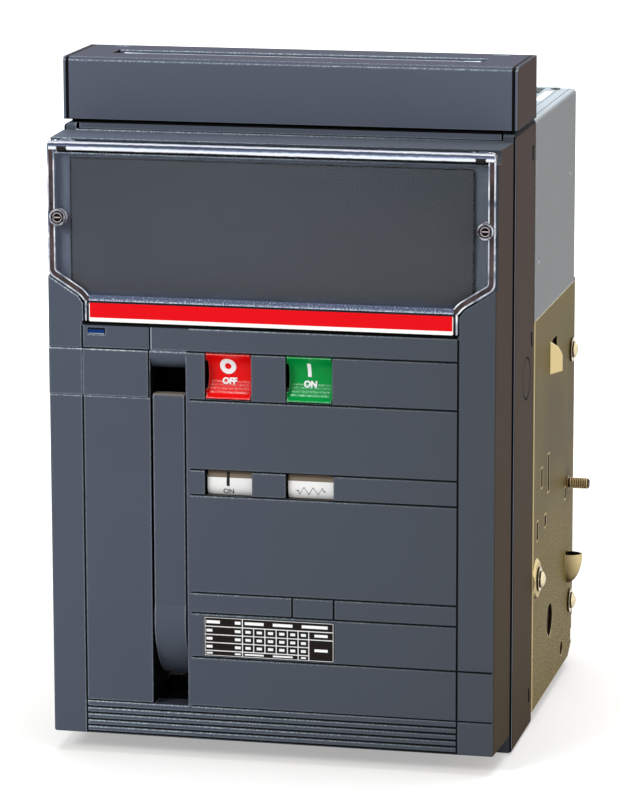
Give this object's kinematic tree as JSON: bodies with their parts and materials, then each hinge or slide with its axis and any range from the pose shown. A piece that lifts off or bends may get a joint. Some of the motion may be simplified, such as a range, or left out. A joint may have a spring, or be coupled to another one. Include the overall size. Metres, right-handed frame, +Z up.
{
  "type": "switch disconnector",
  "caption": "Three-pole low-voltage switch disconnector in a fixed housing, with push buttons, indicators, charging lever, clear shield, terminal box and rear terminals.",
  "frame": {"origin": "centre of the four base fixing holes, on the plane of the underside of the foot rails and frame", "axes": "+X to the right as seen from the front, +Y from the cover to the rear terminals, +Z up"},
  "size_m": [0.3233, 0.353, 0.4466],
  "materials": {
    "cover_plastic": "fine-textured moulded plastic, dark blue-grey",
    "frame_plastic": "fine-textured moulded plastic, near black",
    "panel_plastic": "smooth dark moulded plastic",
    "dark_plate": "dark printed aluminium plate",
    "steel": "ground steel",
    "spring_steel": "oiled spring steel",
    "zinc_steel": "zinc-plated steel",
    "yellow_zinc": "yellow-passivated zinc plating, satin",
    "bronze": "sintered bronze",
    "grey_housing": "light grey, satin",
    "moulded_insulation": "moulded thermoset insulation",
    "chute_insulation": "moulded insulation with steel splitter plates",
    "silvered_copper": "silver-plated copper",
    "copper": "bare copper",
    "pale_plastic": "off-white plastic",
    "black_plastic": "black plastic",
    "lever_plastic": "moulded plastic, dark blue-grey",
    "clear_shield": "clear polycarbonate",
    "red_strip": "red printed strip with a white lower line",
    "red_button": "red plastic",
    "green_button": "green plastic",
    "blue_button": "blue plastic",
    "white_flag": "white plastic"
  },
  "bodies": {
    "housing": {"front_cover": "cover_plastic", "front_frame": "frame_plastic", "cover_screws": "steel", "release_blank_panel": "panel_plastic", "lock_pad": "cover_plastic", "rating_plate": "dark_plate", "shield_pins": "steel", "terminal_box": "cover_plastic", "terminal_box_cap_left": "cover_plastic", "terminal_box_cap_right": "cover_plastic", "terminal_strip": "pale_plastic", "upper_housing": "grey_housing", "arc_chute_1": "chute_insulation", "arc_chute_2": "chute_insulation", "arc_chute_3": "chute_insulation", "pole_base": "moulded_insulation", "upper_terminal_1": "silvered_copper", "upper_terminal_2": "silvered_copper", "upper_terminal_3": "silvered_copper", "lower_terminal_1": "silvered_copper", "lower_terminal_2": "silvered_copper", "lower_terminal_3": "silvered_copper", "contact_pins": "steel", "side_plate_left": "yellow_zinc", "side_plate_right": "yellow_zinc", "side_stud": "zinc_steel", "side_screws": "zinc_steel", "foot_rails": "yellow_zinc", "foot_screws": "zinc_steel", "mechanism_plate_left": "zinc_steel", "mechanism_plate_right": "zinc_steel", "mechanism_rods": "steel", "spring_anchor": "zinc_steel", "shaft_bearings": "bronze", "auxiliary_switch": "black_plastic", "closing_springs": "spring_steel"},
    "shield": {"release_shield": "clear_shield", "band_strip": "red_strip"},
    "shield_screw_left": {"shield_screw_left": "black_plastic"},
    "shield_screw_right": {"shield_screw_right": "black_plastic"},
    "off_button": {"off_button": "red_button"},
    "on_button": {"on_button": "green_button"},
    "reset_button": {"reset_button": "blue_button"},
    "position_indicator": {"position_indicator": "white_flag"},
    "spring_indicator": {"spring_indicator": "white_flag"},
    "charging_lever": {"charging_lever": "lever_plastic"},
    "lever_pawl": {"lever_pawl": "steel"},
    "charging_shaft": {"charging_shaft": "steel", "ratchet_wheel": "zinc_steel", "charging_cam": "steel"},
    "spring_carriage": {"spring_carriage": "zinc_steel"},
    "main_shaft": {"main_shaft": "zinc_steel"},
    "trip_shaft": {"trip_shaft": "steel"},
    "close_shaft": {"close_shaft": "steel"},
    "moving_contact_1": {"moving_contact_1": "copper"},
    "connecting_rod_1": {"connecting_rod_1": "moulded_insulation"},
    "moving_contact_2": {"moving_contact_2": "copper"},
    "connecting_rod_2": {"connecting_rod_2": "moulded_insulation"},
    "moving_contact_3": {"moving_contact_3": "copper"},
    "connecting_rod_3": {"connecting_rod_3": "moulded_insulation"}
  },
  "joints": [
    {"name": "shield_hinge", "type": "hinge", "parent": "housing", "child": "shield", "pos_m": [0, -0.192, 0.3965], "axis": [-1, 0, 0], "range_deg": [0, 100]},
    {"name": "shield_screw_left_turn", "type": "hinge", "parent": "shield", "child": "shield_screw_left", "pos_m": [-0.1379, -0.1998, 0.3506], "axis": [0, 1, 0], "range_deg": [0, 90]},
    {"name": "shield_screw_right_turn", "type": "hinge", "parent": "shield", "child": "shield_screw_right", "pos_m": [0.1379, -0.1998, 0.3506], "axis": [0, 1, 0], "range_deg": [0, 90]},
    {"name": "off_button_push", "type": "slide", "parent": "housing", "child": "off_button", "axis": [0, 1, 0], "range_m": [0, 0.005], "stiffness_N_per_m": 800, "springref_m": -0.002},
    {"name": "on_button_push", "type": "slide", "parent": "housing", "child": "on_button", "axis": [0, 1, 0], "range_m": [0, 0.005], "stiffness_N_per_m": 800, "springref_m": -0.002},
    {"name": "reset_button_push", "type": "slide", "parent": "housing", "child": "reset_button", "axis": [0, 1, 0], "range_m": [0, 0.003], "stiffness_N_per_m": 400, "springref_m": -0.002},
    {"name": "position_indicator_turn", "type": "hinge", "parent": "housing", "child": "position_indicator", "pos_m": [0, -0.1786, 0.1822], "axis": [1, 0, 0], "range_deg": [0, 58]},
    {"name": "spring_indicator_turn", "type": "hinge", "parent": "housing", "child": "spring_indicator", "pos_m": [0, -0.1786, 0.1822], "axis": [1, 0, 0], "range_deg": [0, 58]},
    {"name": "charging_lever_pull", "type": "hinge", "parent": "housing", "child": "charging_lever", "pos_m": [-0.0767, -0.15, 0.066], "axis": [1, 0, 0], "range_deg": [0, 50], "stiffness_Nm_per_rad": 0.3, "springref_deg": -34.38},
    {"name": "lever_pawl_lift", "type": "hinge", "parent": "charging_lever", "child": "lever_pawl", "pos_m": [-0.0655, -0.16643, 0.0969], "axis": [-1, 0, 0], "range_deg": [0, 12], "stiffness_Nm_per_rad": 0.02, "springref_deg": -11.46},
    {"name": "charging_shaft_turn", "type": "hinge", "parent": "housing", "child": "charging_shaft", "pos_m": [0, -0.15, 0.066], "axis": [1, 0, 0], "range_deg": [0, 150]},
    {"name": "spring_carriage_lift", "type": "slide", "parent": "housing", "child": "spring_carriage", "axis": [0, 0, 1], "range_m": [0, 0.025], "deforming": ["closing_springs"]},
    {"name": "main_shaft_turn", "type": "hinge", "parent": "housing", "child": "main_shaft", "pos_m": [0, -0.052, 0.1], "axis": [1, 0, 0], "range_deg": [0, 20]},
    {"name": "moving_contact_1_swing", "type": "hinge", "parent": "housing", "child": "moving_contact_1", "pos_m": [-0.09, 0.038, 0.1], "axis": [1, 0, 0], "range_deg": [0, 20]},
    {"name": "connecting_rod_1_crank", "type": "hinge", "parent": "main_shaft", "child": "connecting_rod_1", "pos_m": [-0.09, -0.052, 0.15], "axis": [1, 0, 0], "range_deg": [-20, 0]},
    {"name": "moving_contact_2_swing", "type": "hinge", "parent": "housing", "child": "moving_contact_2", "pos_m": [0, 0.038, 0.1], "axis": [1, 0, 0], "range_deg": [0, 20]},
    {"name": "connecting_rod_2_crank", "type": "hinge", "parent": "main_shaft", "child": "connecting_rod_2", "pos_m": [0, -0.052, 0.15], "axis": [1, 0, 0], "range_deg": [-20, 0]},
    {"name": "moving_contact_3_swing", "type": "hinge", "parent": "housing", "child": "moving_contact_3", "pos_m": [0.09, 0.038, 0.1], "axis": [1, 0, 0], "range_deg": [0, 20]},
    {"name": "connecting_rod_3_crank", "type": "hinge", "parent": "main_shaft", "child": "connecting_rod_3", "pos_m": [0.09, -0.052, 0.15], "axis": [1, 0, 0], "range_deg": [-20, 0]},
    {"name": "trip_shaft_turn", "type": "hinge", "parent": "housing", "child": "trip_shaft", "pos_m": [0, -0.1744, 0.266], "axis": [1, 0, 0], "range_deg": [0, 20.96]},
    {"name": "close_shaft_turn", "type": "hinge", "parent": "housing", "child": "close_shaft", "pos_m": [0, -0.1744, 0.238], "axis": [1, 0, 0], "range_deg": [-20.96, 0]}
  ],
  "couplings": [
    {"joint": "position_indicator_turn", "follows": "main_shaft_turn", "ratio": 2.9},
    {"joint": "spring_indicator_turn", "follows": "charging_shaft_turn", "ratio": 0.38667},
    {"joint": "spring_carriage_lift", "follows": "charging_shaft_turn", "m_per_rad": 0.0095493},
    {"joint": "trip_shaft_turn", "follows": "off_button_push", "rad_per_m": 71.429},
    {"joint": "close_shaft_turn", "follows": "on_button_push", "rad_per_m": -71.429},
    {"joint": "moving_contact_1_swing", "follows": "main_shaft_turn", "ratio": 1},
    {"joint": "connecting_rod_1_crank", "follows": "main_shaft_turn", "ratio": -1},
    {"joint": "moving_contact_2_swing", "follows": "main_shaft_turn", "ratio": 1},
    {"joint": "connecting_rod_2_crank", "follows": "main_shaft_turn", "ratio": -1},
    {"joint": "moving_contact_3_swing", "follows": "main_shaft_turn", "ratio": 1},
    {"joint": "connecting_rod_3_crank", "follows": "main_shaft_turn", "ratio": -1}
  ]
}
